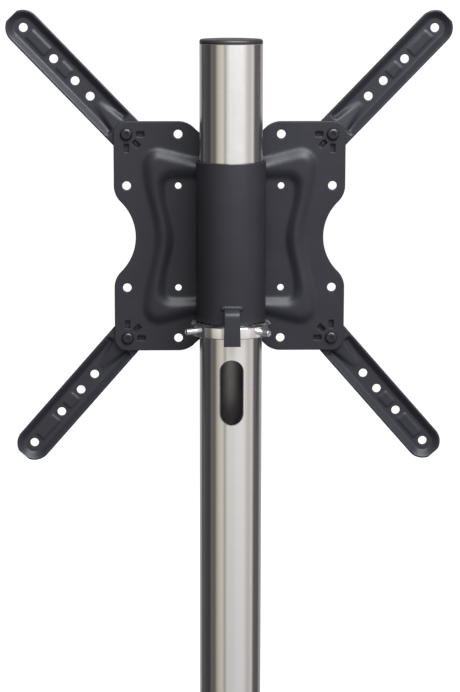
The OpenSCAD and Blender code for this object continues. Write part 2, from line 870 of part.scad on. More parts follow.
// All pressings of an arm's floor
module arm_pressings() {
    margin = hole_d / 2 + panel_gap;
    ramp();
    floor_panel(arm_holes[1] + margin, arm_holes[2] - margin);
    floor_panel(arm_holes[2] + margin, arm_holes[3] - margin);
}

// An arm along +x from its pivot, z from the rim plane towards the screen
module arm() {
    bump_r = (pow(index_bump_r, 2) + pow(index_bump_h, 2)) / (2 * index_bump_h);
    color("#3a3b40")
    difference() {
        union() {
            run_section(half_section(), ramp_near - arm_t / 2, tip_reach);
            arm_tip();
            run_section(filled_section(), ramp_near - arm_t, ramp_near);
            linear_extrude(arm_t) {
                translate([-pad_back, 0]) circle(d = arm_w);
                translate([-pad_back, -arm_w / 2]) square([ramp_near + pad_back, arm_w]);
            }
            translate([-index_reach, 0, 0]) intersection() {
                translate([0, 0, bump_r - index_bump_h]) sphere(bump_r);
                translate([0, 0, -index_bump_h]) cylinder(r = index_bump_r, h = arm_t);
            }
            arm_pressings();
        }
        translate([0, 0, arm_t]) arm_pressings();
        translate([0, 0, -over]) {
            cylinder(r = pivot_r + pin_fit, h = arm_h + 2 * over);
            for (x = arm_holes) translate([x, 0, 0]) cylinder(d = hole_d, h = arm_h + 2 * over);
        }
    }
}

// An arm on the pivot at the given side and height, pointing at an angle above +X
module placed_arm(x, z, angle) {
    translate([x * pattern_pivot / 2, arm_y, mount_z + z * pattern_pivot / 2])
        rotate([0, -angle, 0]) face_screen() arm();
}

module arm_upper_left() {
    placed_arm(-1, 1, 180 - upper_arm_angle);
}

module arm_upper_right() {
    placed_arm(1, 1, upper_arm_angle);
}

module arm_lower_left() {
    placed_arm(-1, -1, 180 + lower_arm_angle);
}

module arm_lower_right() {
    placed_arm(1, -1, -lower_arm_angle);
}

base_plate();
base_feet();
base_screws();
pole_plug();
base_cover();
pole();
pole_cap();
collar();
clamp_screw_left();
clamp_screw_right();
sleeve();
liner_upper();
liner_lower();
swivel_washer();
stop_tab();
sleeve_welds();
mount_plate();
pivot_screws();
pivot_shims();
pivot_washers();
pivot_nuts();
arm_upper_left();
arm_upper_right();
arm_lower_left();
arm_lower_right();
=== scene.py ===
"""A television floor stand with its mount, seen from the rear, in a plain studio.

The row frame is in metres, with +Z up the pole and +Y towards the television. Shapes are
worked out in millimetres, and mm turns them into metres. Angles are in degrees.
"""
import json
import math

import bmesh
import bpy
import numpy as np
from mathutils import Matrix, Vector
from mathutils.geometry import delaunay_2d_cdt


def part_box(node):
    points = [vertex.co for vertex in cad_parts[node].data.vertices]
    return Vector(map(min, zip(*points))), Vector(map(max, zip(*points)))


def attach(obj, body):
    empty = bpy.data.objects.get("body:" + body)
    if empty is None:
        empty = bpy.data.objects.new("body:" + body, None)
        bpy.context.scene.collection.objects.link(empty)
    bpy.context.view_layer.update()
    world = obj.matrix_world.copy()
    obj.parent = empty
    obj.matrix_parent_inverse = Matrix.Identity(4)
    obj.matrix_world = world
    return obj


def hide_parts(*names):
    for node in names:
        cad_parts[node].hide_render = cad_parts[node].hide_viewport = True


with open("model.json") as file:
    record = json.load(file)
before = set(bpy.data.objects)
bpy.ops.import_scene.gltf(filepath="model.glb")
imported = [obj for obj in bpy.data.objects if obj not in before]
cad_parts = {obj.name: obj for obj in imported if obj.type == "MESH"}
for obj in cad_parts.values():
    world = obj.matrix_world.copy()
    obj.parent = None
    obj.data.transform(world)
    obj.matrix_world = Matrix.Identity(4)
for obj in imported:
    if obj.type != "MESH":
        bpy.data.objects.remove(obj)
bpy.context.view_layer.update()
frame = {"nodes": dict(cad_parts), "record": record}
nodes = frame["nodes"]
slots = {part["node"]: part["material_slot"] for part in frame["record"]["subparts"]}
mm = 0.001


# Sizes that the pieces share, in millimetres
def box_mm(node):
    """The lowest and the highest corner of a CAD node."""
    lo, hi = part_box(node)
    return lo / mm, hi / mm


plate_lo, plate_hi = box_mm("mount_plate")
mount_z = (plate_lo.z + plate_hi.z) / 2
plate_t = 3
plate_rear = plate_hi.y - plate_t
pole_lo, pole_hi = box_mm("pole")
pole_r = (pole_hi.x - pole_lo.x) / 2
pole_wall = 2
# the bore of the washer, the collar and the cover ring, which the pole runs through
bore_r = pole_r + 0.3
sleeve_lo, sleeve_hi = box_mm("sleeve")
sleeve_r = (sleeve_hi.x - sleeve_lo.x) / 2
# the screw holes of the television patterns, and the arms' pivots, from the plate's middle
hole_near, hole_far = 50, 100
big_hole_r = 4.25
index_reach = 13.5
corners = [(sx, sz) for sx in (-1, 1) for sz in (-1, 1)]


# Nodes for the materials, with noise scales per metre and bump distances in metres
def principled(name, **sockets):
    """A node material whose scalars sit on the shader's own sockets."""
    mat = bpy.data.materials.new(name)
    mat.use_nodes = True
    shader = mat.node_tree.nodes["Principled BSDF"]
    for key, value in sockets.items():
        shader.inputs[key.replace("_", " ")].default_value = value
    return mat, mat.node_tree, shader


def add(tree, kind, **values):
    """A node with properties (lower case) and inputs (by name, with _ for a space)."""
    node = tree.nodes.new("ShaderNode" + kind)
    for key, value in values.items():
        if hasattr(node, key):
            setattr(node, key, value)
        else:
            node.inputs[key.replace("_", " ")].default_value = value
    return node


def compute(tree, operation, *inputs, kind="Math", output=0):
    """The output of a math node, whose inputs are sockets or plain numbers."""
    node = add(tree, kind, operation=operation)
    for socket, value in zip(node.inputs, inputs):
        if isinstance(value, bpy.types.NodeSocket):
            tree.links.new(value, socket)
        else:
            socket.default_value = value
    return node.outputs[output]


def object_coords(tree, scale=(1, 1, 1)):
    """Object coordinates, which are the row frame's metres, scaled per axis."""
    coords = add(tree, "TexCoord")
    mapping = add(tree, "Mapping", Scale=scale)
    tree.links.new(coords.outputs["Object"], mapping.inputs["Vector"])
    return mapping.outputs["Vector"]


def ramp(tree, source, stops):
    """A colour ramp over source; stops are (position, grey or colour)."""
    node = add(tree, "ValToRGB")
    elements = node.color_ramp.elements
    while len(elements) < len(stops):
        elements.new(0.5)
    for element, (at, value) in zip(elements, stops):
        element.position = at
        colour = value if isinstance(value, tuple) else (value, value, value)
        element.color = (*colour, 1)
    tree.links.new(source, node.inputs["Fac"])
    return node.outputs["Color"]


def spread(tree, source, low, high):
    """Noise as greys or colours from low to high; most of it lies between 0.3 and 0.7."""
    return ramp(tree, source, [(0.3, low), (0.7, high)])


def mottled(tree, source, colour, share):
    """Noise as a colour that varies by a share of itself."""
    darker, lighter = (tuple(c * factor for c in colour) for factor in (1 - share, 1 + share))
    return spread(tree, source, darker, lighter)


def noise(tree, vector, scale, detail=2):
    """Smooth noise, with scale bumps to the metre."""
    node = add(tree, "TexNoise", Scale=scale, Detail=detail)
    tree.links.new(vector, node.inputs["Vector"])
    return node.outputs["Fac"]


def bump(tree, shader, height, strength, distance):
    """The shader's normals, tilted by a height."""
    node = add(tree, "Bump", Strength=strength, Distance=distance)
    tree.links.new(height, node.inputs["Height"])
    tree.links.new(node.outputs["Normal"], shader.inputs["Normal"])


# Materials
def powder_coat(name, colour, roughness):
    """Satin powder coat: fine orange peel, slight mottling in colour and gloss."""
    mat, tree, shader = principled(name, Base_Color=(*colour, 1), Roughness=roughness, IOR=1.5,
                                   Specular_IOR_Level=0.27)
    even = object_coords(tree)
    tint = mottled(tree, noise(tree, even, scale=35, detail=3), colour, share=0.06)
    tree.links.new(tint, shader.inputs["Base Color"])
    gloss = spread(tree, noise(tree, even, scale=60), roughness - 0.04, roughness + 0.04)
    tree.links.new(gloss, shader.inputs["Roughness"])
    bump(tree, shader, noise(tree, even, scale=900), strength=0.12, distance=0.0004)
    return mat


def polished_tube(name):
    """Polished stainless: hairlines run round the tube, and faint waves along it."""
    mat, tree, shader = principled(name, Metallic=1, Roughness=0.22, Base_Color=(0.80, 0.785, 0.76, 1),
                                   Anisotropic=0.8, Anisotropic_Rotation=0.25)
    round_pole = add(tree, "Tangent", direction_type="RADIAL", axis="Z")
    tree.links.new(round_pole.outputs["Tangent"], shader.inputs["Tangent"])
    hair = noise(tree, object_coords(tree, (60, 60, 2600)), scale=1, detail=3)
    drift = noise(tree, object_coords(tree, (30, 30, 1.2)), scale=1)
    tree.links.new(spread(tree, hair, 0.19, 0.25), shader.inputs["Roughness"])
    tint = spread(tree, drift, (0.79, 0.77, 0.745), (0.83, 0.82, 0.80))
    tree.links.new(tint, shader.inputs["Base Color"])
    hair_share = 0.02
    bump(tree, shader, compute(tree, "MULTIPLY_ADD", hair, hair_share, drift), strength=0.05, distance=0.001)
    return mat


def plated(name, colour, roughness):
    """Plated or bare steel with faint polishing marks."""
    mat, tree, shader = principled(name, Metallic=1, Roughness=roughness, Base_Color=(*colour, 1))
    marks = noise(tree, object_coords(tree), scale=260, detail=3)
    gloss = spread(tree, marks, roughness * 0.92, roughness * 1.1)
    tree.links.new(gloss, shader.inputs["Roughness"])
    bump(tree, shader, marks, strength=0.01, distance=0.0005)
    return mat


def moulded(name, colour, roughness, grain):
    """A dull surface with a fine grain, such as moulded plastic, rubber or a sawn edge, where it also stands
    for painted shade.
    """
    mat, tree, shader = principled(name, Base_Color=(*colour, 1), Roughness=roughness, IOR=1.48)
    even = object_coords(tree)
    tint = mottled(tree, noise(tree, even, scale=45), colour, share=0.1)
    tree.links.new(tint, shader.inputs["Base Color"])
    bump(tree, shader, noise(tree, even, scale=grain), strength=0.15, distance=0.0004)
    return mat


black_coat = powder_coat("black_coat", (0.015, 0.015, 0.019), roughness=0.43)
arm_coat = powder_coat("arm_coat", (0.018, 0.018, 0.023), roughness=0.42)
steel = polished_tube("polished_steel")
mill_steel = plated("mill_steel", (0.29, 0.28, 0.27), roughness=0.38)
# dark and dull on the pole's cut edges and the rounding beside them: partly the cut metal's own dullness,
# partly painted shade that keeps a highlight off the rounded edges
cut_steel_and_painted_shade = moulded("cut_steel_and_painted_shade", (0.10, 0.10, 0.105), roughness=0.6, grain=900)
chrome = plated("chrome", (0.86, 0.86, 0.87), roughness=0.05)
satin_chrome = plated("satin_chrome", (0.64, 0.64, 0.65), roughness=0.36)
zinc = plated("zinc_steel", (0.55, 0.56, 0.58), roughness=0.3)
black_steel = moulded("black_steel", (0.009, 0.009, 0.011), roughness=0.3, grain=1500)
cap_plastic = moulded("black_plastic", (0.02, 0.02, 0.022), roughness=0.4, grain=1300)
nylon = moulded("liner_plastic", (0.016, 0.016, 0.017), roughness=0.45, grain=900)
rubber = moulded("rubber", (0.018, 0.018, 0.018), roughness=0.75, grain=700)

finishes = {
    "black_coat": black_coat,
    "polished_steel": steel,
    "chrome": chrome,
    "zinc_steel": zinc,
    "black_steel": black_steel,
    "black_plastic": cap_plastic,
    "liner_plastic": nylon,
    "shim_plastic": nylon,
    "rubber": rubber,
}
for node_name, slot_name in slots.items():
    node_mesh = nodes[node_name].data
    node_mesh.materials.clear()
    node_mesh.materials.append(finishes[slot_name])


# Pieces from vertices in millimetres
def mesh_of(name, verts, faces, weld=True):
    """A mesh, with doubled points welded and its faces turned outwards if weld is set."""
    mesh = bpy.data.meshes.new(name)
    mesh.from_pydata([(x * mm, y * mm, z * mm) for x, y, z in verts], [], faces)
    if weld:
        bm = bmesh.new()
        bm.from_mesh(mesh)
        bmesh.ops.remove_doubles(bm, verts=bm.verts, dist=0.001 * mm)
        bmesh.ops.recalc_face_normals(bm, faces=bm.faces)
        bm.to_mesh(mesh)
        bm.free()
    return mesh


def in_scene(name, data):
    """An object that shows a mesh, a light or a camera."""
    obj = bpy.data.objects.new(name, data)
    bpy.context.scene.collection.objects.link(obj)
    return obj


def new_piece(name, shape, body, node, sharp=40, material=None, others=(), normals=None):
    """A smooth-shaded piece that rides on a body and stands for a CAD node.

    shape is (vertices, faces), and edges steeper than sharp stay sharp. The node's own
    finish is used unless a material is given. others lists further materials, each with
    the numbers of the faces that wear it. Normals, if given, are one per vertex.
    """
    mesh = mesh_of(name, *shape, weld=normals is None)
    mesh.shade_smooth()
    if normals is None:
        mesh.set_sharp_from_angle(angle=math.radians(sharp))
    else:
        mesh.normals_split_custom_set_from_vertices([tuple(n) for n in normals])
    mesh.materials.append(material or finishes[slots[node]])
    for index, (other, numbers) in enumerate(others, 1):
        mesh.materials.append(other)
        for k in numbers:
            mesh.polygons[k].material_index = index
    obj = in_scene(name, mesh)
    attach(obj, body)
    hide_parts(node)


def cut_away(solid, cutters):
    """A solid less the cutters; each of them is (vertices, faces)."""
    body, *tools = [in_scene("cut", mesh_of("cut", *shape)) for shape in (solid, *cutters)]
    for tool in tools:
        step = body.modifiers.new("cut", "BOOLEAN")
        step.operation, step.solver, step.object = "DIFFERENCE", "EXACT", tool
    bpy.context.view_layer.update()
    mesh = body.evaluated_get(bpy.context.evaluated_depsgraph_get()).to_mesh()
    result = [v.co / mm for v in mesh.vertices], [tuple(f.vertices) for f in mesh.polygons]
    for obj in (body, *tools):
        data = obj.data
        bpy.data.objects.remove(obj)
        bpy.data.meshes.remove(data)
    return result


# Plane outlines
def arc(x, y, r, start, end, steps):
    """Points on an arc round (x, y), with both ends."""
    turns = [math.radians(start + (end - start) * i / steps) for i in range(steps + 1)]
    return [(x + r * math.cos(a), y + r * math.sin(a)) for a in turns]


def circle(x, y, r, steps=40):
    """Points on a whole circle, anticlockwise."""
    return arc(x, y, r, 0, 360, steps)[:-1]


def between(a, b, steps):
    """The points that part the line from a to b into equal steps, without its ends."""
    return [(a[0] + (b[0] - a[0]) * i / steps, a[1] + (b[1] - a[1]) * i / steps) for i in range(1, steps)]


def rounded_rectangle(x0, x1, half_h, r, corner_steps, side_steps=1):
    """A rectangle with round corners, anticlockwise, each side in equal steps."""
    middles = [(x1 - r, half_h - r), (x0 + r, half_h - r), (x0 + r, r - half_h), (x1 - r, r - half_h)]
    rounds = [arc(x, y, r, 90 * k, 90 * k + 90, corner_steps) for k, (x, y) in enumerate(middles)]
    loop = []
    for k, bend in enumerate(rounds):
        loop += bend + between(bend[-1], rounds[(k + 1) % 4][0], side_steps)
    return loop


def rotated(points, degrees, x=0, y=0):
    """The points turned round the origin, and then moved by (x, y)."""
    turn = math.radians(degrees)
    along, across = math.cos(turn), math.sin(turn)
    return [(x + u * along - v * across, y + u * across + v * along) for u, v in points]


def offset_loop(loop, away):
    """A closed loop moved to its left by a distance, and at sharp corners by twice that at most."""
    pts = np.asarray(loop, float)
    ahead = np.roll(pts, -1, 0) - pts
    ahead /= np.linalg.norm(ahead, axis=1)[:, None]
    both = ahead + np.roll(ahead, 1, 0)
    both /= np.linalg.norm(both, axis=1)[:, None]
    left = np.stack([-both[:, 1], both[:, 0]], 1)
    cosine = (both * ahead).sum(1)
    return pts + left * (away / np.clip(cosine, 0.5, 1))[:, None]


def soften(profile, r):
    """A closed profile whose corners are cut to short curves of about the radius r."""
    out = []
    most_of_side = 0.45
    n = len(profile)
    for i in range(n):
        p, q, s = (Vector(profile[(i + k) % n]) for k in (-1, 0, 1))
        u, v = p - q, s - q
        cut = min(r, u.length * most_of_side, v.length * most_of_side)
        a, b = q + u.normalized() * cut, q + v.normalized() * cut
        for t in (0, 0.25, 0.5, 0.75, 1):
            out.append(tuple(a * (1 - t) ** 2 + q * 2 * t * (1 - t) + b * t ** 2))
    return out


def inside(points, loop):
    """Which of the points lie in the closed loop."""
    x, y = points[:, 0], points[:, 1]
    result = np.zeros(len(points), bool)
    a = np.asarray(loop, float)
    for (x0, y0), (x1, y1) in zip(a, np.roll(a, -1, 0)):
        if y0 != y1:
            crosses = (y0 > y) != (y1 > y)
            result ^= crosses & (x < (x1 - x0) * (y - y0) / (y1 - y0) + x0)
    return result


def distance(points, loop):
    """How far each point is from the closed loop's line."""
    a = np.asarray(loop, float)
    best = np.full(len(points), np.inf)
    for p, q in zip(a, np.roll(a, -1, 0)):
        along = q - p
        t = np.clip(((points - p) @ along) / (along @ along), 0, 1)
        best = np.minimum(best, np.linalg.norm(points - (p + t[:, None] * along), axis=1))
    return best


def near(points, loop, reach):
    """The numbers of the points in a square that goes past the loop by reach."""
    half = np.ptp(loop, axis=0).max() / 2 + reach
    return np.flatnonzero(np.abs(points - np.mean(loop, axis=0)).max(1) < half)


def ease(t):
    """From 0 to 1 while t does, level at both ends."""
    t = np.clip(t, 0, 1)
    return t * t * (3 - 2 * t)


def rounding(away, reach, depth):
    """How far a rounded edge falls back: by depth at the edge, and by nothing from reach on."""
    left = 1 - np.clip(away / reach, 0, 1)
    return depth * (1 - np.sqrt(1 - left ** 2))


# Pressed sheets
row_gap = 0.35
snap = 1e-5


def staggered(xs, ys):
    """A grid whose odd rows are moved by half a step."""
    half = (xs[1] - xs[0]) / 2
    return np.array([(x + half * (j % 2), y) for j, y in enumerate(ys) for x in xs])


def clear_of_holes(grid, holes, gap):
    """The grid's points that are outside the holes by the gap."""
    keep = np.ones(len(grid), bool)
    for hole in holes:
        where = near(grid, hole, gap)
        keep[where[inside(grid[where], hole) | (distance(grid[where], hole) < gap)]] = False
    return grid[keep]


def steps_round(loop):
    """Each point of a closed loop with the next."""
    return list(zip(loop, loop[1:] + loop[:1]))


def triangulated(loops, grid):
    """Points and triangles that hold the loops' edges, and each loop's points by number."""
    points, edges, numbers = [], [], []
    for loop in loops:
        numbers.append(list(range(len(points), len(points) + len(loop))))
        edges += steps_round(numbers[-1])
        points += [Vector(p) for p in loop]
    points += [Vector(p) for p in grid]
    verts, _, tris, origin, _, _ = delaunay_2d_cdt(points, edges, [], 0, snap)
    place = {old: new for new, olds in enumerate(origin) for old in olds}
    flat = np.array([tuple(v) for v in verts])
    return flat, np.array(tris), [[place[i] for i in loop] for loop in numbers]


def sheet_plan(outline, holes, rims, hole_rims, grid):
    """A sheet's points and triangles, and the pairs of points along its edges.

    outline and holes run anticlockwise. rims and hole_rims are the distances from them at
    which rows of points follow them. The grid's points stand clear of those rows.
    """
    rows = [offset_loop(outline, r) for r in rims]
    rows += [offset_loop(hole, -r) for hole in holes for r in hole_rims]
    flat, tris, loops = triangulated([outline, *holes, *rows], grid)
    middle = flat[tris].mean(1)
    good = inside(middle, outline)
    for hole in holes:
        good &= ~inside(middle, hole)
    outer, *inner = loops[:1 + len(holes)]
    walls = [(b, a) for a, b in steps_round(outer)]
    for loop in inner:
        walls += steps_round(loop)
    return flat, tris[good], walls


def plain_sheet_plan(outline, holes, rims, hole_rims, xs, ys):
    """The plan of a sheet with a staggered grid inside its edges."""
    grid = staggered(xs, ys)
    grid = grid[inside(grid, outline)]
    grid = grid[distance(grid, outline) > rims[-1] + row_gap]
    grid = clear_of_holes(grid, holes, hole_rims[-1] + row_gap)
    return sheet_plan(outline, holes, rims, hole_rims, grid)


def sheet_solid(plan, front, back, place):
    """Two skins over a plan, at the depths front and back, joined along the sheet's edges."""
    flat, tris, walls = plan
    n = len(flat)
    verts = [place(x, y, d) for depths in (front, back) for (x, y), d in zip(flat, depths)]
    faces = [tuple(t) for t in tris] + [(c + n, b + n, a + n) for a, b, c in tris]
    return verts, faces + [(a, b, b + n, a + n) for a, b in walls]


def relax(values, tris, rounds):
    """Values at the points of a mesh, blurred over their neighbours a few times."""
    ends = np.concatenate([tris[:, [0, 1]], tris[:, [1, 2]], tris[:, [2, 0]]])
    ends = np.concatenate([ends, ends[:, ::-1]])
    count = np.bincount(ends[:, 0], minlength=len(values))
    for _ in range(rounds):
        total = np.bincount(ends[:, 0], weights=values[ends[:, 1]], minlength=len(values))
        values = 0.5 * values + 0.5 * total / np.maximum(count, 1)
    return values


# The mount plate
def plate_outline():
    """The plate's edge, with round corners and a hollow in each side."""
    half, corner_r = plate_hi.x, 12
    hollow_depth, hollow_half, hollow_r = 21, 50, 48
    shoulder_r = (hollow_half ** 2 + hollow_depth ** 2) / (2 * hollow_depth) - hollow_r
    hollow_y, shoulder_y = half - hollow_depth + hollow_r, half - shoulder_r
    turn = math.degrees(math.atan2(hollow_y - shoulder_y, -hollow_half))
    side = arc(half - corner_r, half - corner_r, corner_r, 0, 90, 14)
    side += arc(hollow_half, shoulder_y, shoulder_r, 90, turn, 12)
    side += arc(0, hollow_y, hollow_r, turn - 180, -turn, 26)[1:-1]
    side += arc(-hollow_half, shoulder_y, shoulder_r, 180 - turn, 90, 12)
    return [point for k in range(4) for point in rotated(side, 90 * k)]


def drawn_in(x0, x1, half_h, r, waist, dip=0, down=0):
    """A rounded rectangle whose sides draw in by waist, and its top and bottom by dip."""
    out = []
    for x, z in rounded_rectangle(x0, x1, half_h, r, corner_steps=12, side_steps=24):
        u, v = min(1, abs(x) / x1), min(1, abs(z) / half_h)
        out.append((x * (1 - waist / x1 * (1 - v * v) ** 4),
                    z * (1 - dip / half_h * (1 - u * u) ** 2) - down))
    return out


def pressed_height(points):
    """How far the sheet stands out to the rear at each point of the plate's plan."""
    slope, crest_power = 10.5, 1.6
    side_h, sleeve_h, sleeve_zone, zone_slope = 5.2, 8, 22, 22

    def lift(loop, away):
        """From 0 at the foot of a slope, steep there and level at its crest, to 1."""
        return 1 - (1 - np.where(away, np.clip(distance(points, loop) / slope, 0, 1), 0)) ** crest_power

    form = drawn_in(-85, 85, half_h=88, r=19, waist=12, dip=15)
    window = drawn_in(26, 63, half_h=58.5, r=7.5, waist=8, down=1.5)
    rise = lift(form, inside(points, form))
    for loop in (window, [(-x, z) for x, z in reversed(window)]):
        rise *= lift(loop, ~inside(points, loop))
    # full height against the sleeve, and less beside it
    at_sleeve = ease(1 - (np.abs(points[:, 0]) - sleeve_zone) / zone_slope)
    return (side_h + (sleeve_h - side_h) * at_sleeve) * rise


def plate_holes():
    """The television's screw holes, the pivots' holes and three index slots at each pivot."""
    inner_hole_r, pivot_hole_r = 3.2, 3.25
    slot_half, slot_half_w, slot_r = 3.9, 2.45, 1
    inner_end, outer_end = index_reach - slot_half, index_reach + slot_half
    slot = rounded_rectangle(inner_end, outer_end, slot_half_w, slot_r, corner_steps=4)
    holes = []
    for sx, sz in corners:
        holes.append(circle(sx * hole_near, sz * hole_far, big_hole_r))
        holes.append(circle(sx * hole_far, sz * hole_near, big_hole_r))
        holes.append(circle(sx * hole_near, sz * hole_near, inner_hole_r, steps=32))
        holes.append(circle(sx * hole_far, sz * hole_far, pivot_hole_r, steps=28))
        to_middle = math.degrees(math.atan2(-sz, -sx))
        for turn in (-45, 0, 45):
            holes.append(rotated(slot, to_middle + turn, sx * hole_far, sz * hole_far))
    return holes


def make_plate():
    """The pressed sheet with rounded edges."""
    edge_r, hole_edge_r, pitch = 0.5, 0.4, 1.5
    outline, holes = plate_outline(), plate_holes()
    side = np.arange(1 - plate_hi.x, plate_hi.x - 0.5, pitch)
    plan = plain_sheet_plan(outline, holes, (0.15, edge_r), (0.12, hole_edge_r), side, side)
    flat, tris, _ = plan
    rise = relax(pressed_height(flat), tris, rounds=3)
    sink = rounding(distance(flat, outline), edge_r, edge_r)
    for hole in holes:
        where = near(flat, hole, hole_edge_r)
        sink[where] = np.maximum(sink[where], rounding(distance(flat[where], hole), hole_edge_r, edge_r))
    front = plate_rear - rise + sink
    back = plate_rear - rise - sink + plate_t
    shape = sheet_solid(plan, front, back, lambda x, z, y: (x, y, mount_z + z))
    new_piece("plate_sheet", shape, "mount", "mount_plate", sharp=50)


# The arms, with x from the pivot to the tip, y across, and depth from the rims to the screen
arm_half, arm_t, arm_depth = 16.99, 2.5, 7.5
arm_tip = hole_far * math.sqrt(2)
arm_holes = (hole_near, hole_near * math.sqrt(2), hole_far, arm_tip)
tip_reach, pad_back = 15.5, 2.5


def arm_outline():
    """Round at the pivot, where the end is set back, and cut flat across the tip."""
    flat_turn = math.degrees(math.acos(tip_reach / arm_half))
    tip_x, tip_y = arm_tip + tip_reach, arm_half * math.sin(math.radians(flat_turn))
    side_steps = 94
    return (arc(arm_tip, 0, arm_half, -90, -flat_turn, 24)
            + between((tip_x, -tip_y), (tip_x, tip_y), 14)
            + arc(arm_tip, 0, arm_half, flat_turn, 90, 24)
            + between((arm_tip, arm_half), (-pad_back, arm_half), side_steps)
            + arc(-pad_back, 0, arm_half, 90, 270, 48)
            + between((-pad_back, -arm_half), (arm_tip, -arm_half), side_steps))


def channel_skin(across, side):
    """Depth of a channel's surface at distances from its middle: the rear's for side -1,
    the screen's for side 1. A level floor bends into a slope that ends in a round rim."""
    slant, bend_r = math.radians(40), 2
    rim_r = arm_t / 2
    rim_x = arm_half - rim_r
    bend_depth = arm_depth - arm_t - bend_r
    mid_r = bend_r + rim_r
    slope_run = (bend_depth + mid_r * math.cos(slant) - rim_r) / math.tan(slant)
    bend_x = rim_x - mid_r * math.sin(slant) - slope_run
    r = bend_r if side < 0 else bend_r + arm_t
    bend_end = bend_x + r * math.sin(slant)
    slope_end = rim_x + side * rim_r * math.sin(slant)
    bend = np.sqrt(np.clip(r ** 2 - (across - bend_x) ** 2, 0, None))
    rim = np.sqrt(np.clip(rim_r ** 2 - (across - rim_x) ** 2, 0, None))
    slope = r * math.cos(slant) - (across - bend_end) * math.tan(slant)
    return np.select([across <= bend_x, across <= bend_end, across <= slope_end],
                     [bend_depth + r, bend_depth + bend, bend_depth + slope],
                     rim_r + side * rim)


def arm_panels(x, across):
    """How far the raised panels between the three outer holes stand out of the floor."""
    panel_h, panel_half, corner_r, slope, margin = 1.15, 5.8, 1.8, 1.5, big_hole_r + 3
    rise = np.zeros(len(x))
    for a, b in zip(arm_holes[1:], arm_holes[2:]):
        dx = np.abs(x - (a + b) / 2) - ((b - a) / 2 - margin - corner_r)
        dy = across - (panel_half - corner_r)
        past = np.hypot(np.maximum(dx, 0), np.maximum(dy, 0)) + np.minimum(np.maximum(dx, dy), 0) - corner_r
        rise = np.maximum(rise, panel_h * ease(-past / slope))
    return rise


def arm_ramp(x, across):
    """How far the ramp from the floor to the pivot's pad stands out of the floor."""
    near_x, far_x, near_half, far_half, low_share = 12, 41, 10, 4, 0.1
    foot, side_slope, end_slope = 0.8, 4.4, 2.5
    up = np.clip((far_x - x) / (far_x - near_x), 0, 1)
    half = far_half + (near_half - far_half) * up
    crest = (arm_depth - arm_t) * (low_share + (1 - low_share) * up)
    return crest * ease((half + foot - across) / side_slope) * ease((far_x - x) / end_slope)


def arm_sheet():
    """The plan of an arm, and its depths towards the rear and the screen."""
    outline = arm_outline()
    pivot_hole_r = 3.05
    holes = [circle(x, 0, big_hole_r) for x in arm_holes] + [circle(0, 0, pivot_hole_r, steps=28)]
    pitch, pad_x, side_y, hole_edge_r = 0.85, -18, 15, 0.4
    xs = np.arange(pad_x, arm_tip + tip_reach, pitch)
    ys = np.arange(-side_y, side_y + 0.5, pitch)
    plan = plain_sheet_plan(outline, holes, (0.1, 0.4, 0.85, 1.25), (0.12, hole_edge_r), xs, ys)
    flat, tris, _ = plan
    x, y = flat[:, 0], flat[:, 1]
    # how far each point is from the middle line, or from the middle of a round end
    past_end = np.maximum(0, np.maximum(x - arm_tip, -pad_back - x))
    across = np.clip(np.hypot(past_end, y), 0, arm_half)
    rise = np.maximum(relax(arm_panels(x, np.abs(y)), tris, rounds=2),
                      relax(arm_ramp(x, np.abs(y)), tris, rounds=7))
    front = np.maximum(channel_skin(across, -1) - rise, 0)
    back = channel_skin(across, 1) - rise
    # the pad at the pivot is a flat sheet, a little clear of its washer and its shim
    pad_end, pad_slope, clear = 13.2, 2.4, 0.02
    pad = relax(ease((pad_end - x) / pad_slope), tris, rounds=2)
    rim = rounding(arm_half - across, arm_t / 2, arm_t / 2) + clear
    front = front * (1 - pad) + rim * pad
    back = back * (1 - pad) + (arm_t - rim) * pad
    # the bump that meets the index slots, and the small rounding of each hole's edge
    bump_h, bump_r = 0.7, 1.6
    front -= bump_h * np.sqrt(np.clip(1 - (np.hypot(x + index_reach, y) / bump_r) ** 2, 0, 1))
    for hole in holes:
        sink = rounding(distance(flat, hole), hole_edge_r, hole_edge_r)
        front += sink
        back -= sink
    return plan, front, back


def make_arms():
    """Four pressed channels, each turned to its own angle about its pivot."""
    sheet = arm_sheet()
    shim_t = 1
    for height, sz, angle in (("upper", 1, 46), ("lower", -1, 48.8)):
        for hand, sx in (("left", -1), ("right", 1)):
            out, up = sx * math.cos(math.radians(angle)), sz * math.sin(math.radians(angle))

            def place(x, y, depth, sx=sx, sz=sz, out=out, up=up):
                return (sx * hole_far + x * out - y * up, plate_hi.y + shim_t + depth,
                        mount_z + sz * hole_far + x * up + y * out)

            arm = f"arm_{height}_{hand}"
            shape = sheet_solid(*sheet, place)
            new_piece(f"arm_sheet_{height}_{hand}", shape, arm, arm, sharp=50, material=arm_coat)


